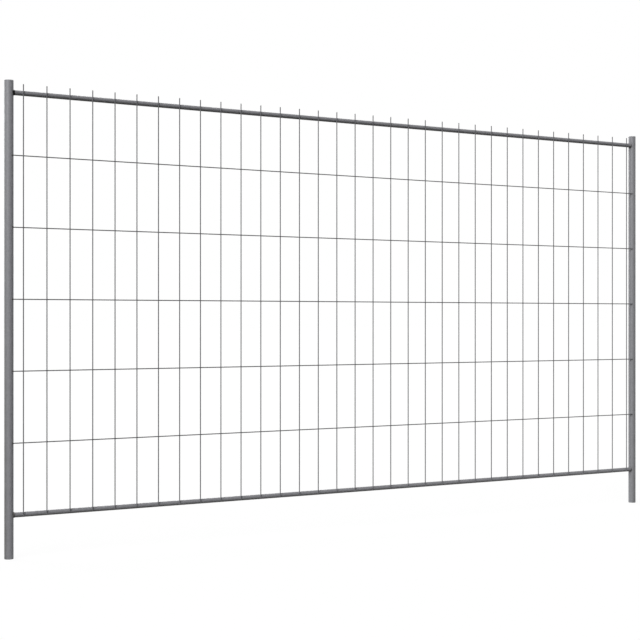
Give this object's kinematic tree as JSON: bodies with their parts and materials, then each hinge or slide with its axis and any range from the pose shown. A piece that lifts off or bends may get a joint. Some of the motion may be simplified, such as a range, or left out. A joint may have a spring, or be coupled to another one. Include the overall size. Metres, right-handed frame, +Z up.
{
  "type": "temporary fence panel",
  "caption": "Temporary site fence panel: round steel posts and rails welded into a frame that carries an open mesh of thin steel wires, stood in feet and coupled to its neighbours.",
  "frame": {"origin": "on the ground, halfway between the two post axes", "axes": "+X along the panel, to the right when facing the mesh; +Z up; the mesh is on the -Y side"},
  "size_m": [3.45, 0.0401, 1.995],
  "materials": {
    "post_steel": "dull galvanised tube",
    "rail_steel": "dull galvanised tube",
    "wire_steel": "drawn galvanised wire",
    "weld_metal": "dark oxidised weld bead"
  },
  "bodies": {
    "root": {"left_post": "post_steel", "right_post": "post_steel", "top_rail": "rail_steel", "bottom_rail": "rail_steel", "horizontal_wire_1": "wire_steel", "horizontal_wire_2": "wire_steel", "horizontal_wire_3": "wire_steel", "horizontal_wire_4": "wire_steel", "horizontal_wire_5": "wire_steel", "vertical_wire_01": "wire_steel", "vertical_wire_02": "wire_steel", "vertical_wire_03": "wire_steel", "vertical_wire_04": "wire_steel", "vertical_wire_05": "wire_steel", "vertical_wire_06": "wire_steel", "vertical_wire_07": "wire_steel", "vertical_wire_08": "wire_steel", "vertical_wire_09": "wire_steel", "vertical_wire_10": "wire_steel", "vertical_wire_11": "wire_steel", "vertical_wire_12": "wire_steel", "vertical_wire_13": "wire_steel", "vertical_wire_14": "wire_steel", "vertical_wire_15": "wire_steel", "vertical_wire_16": "wire_steel", "vertical_wire_17": "wire_steel", "vertical_wire_18": "wire_steel", "vertical_wire_19": "wire_steel", "vertical_wire_20": "wire_steel", "vertical_wire_21": "wire_steel", "vertical_wire_22": "wire_steel", "vertical_wire_23": "wire_steel", "vertical_wire_24": "wire_steel", "vertical_wire_25": "wire_steel", "vertical_wire_26": "wire_steel", "vertical_wire_27": "wire_steel", "vertical_wire_28": "wire_steel", "vertical_wire_29": "wire_steel", "vertical_wire_30": "wire_steel", "vertical_wire_31": "wire_steel", "vertical_wire_32": "wire_steel", "vertical_wire_33": "wire_steel", "vertical_wire_34": "wire_steel", "top_left_weld": "weld_metal", "top_right_weld": "weld_metal", "bottom_left_weld": "weld_metal", "bottom_right_weld": "weld_metal", "left_wire_tacks": "weld_metal", "right_wire_tacks": "weld_metal"}
  },
  "joints": []
}
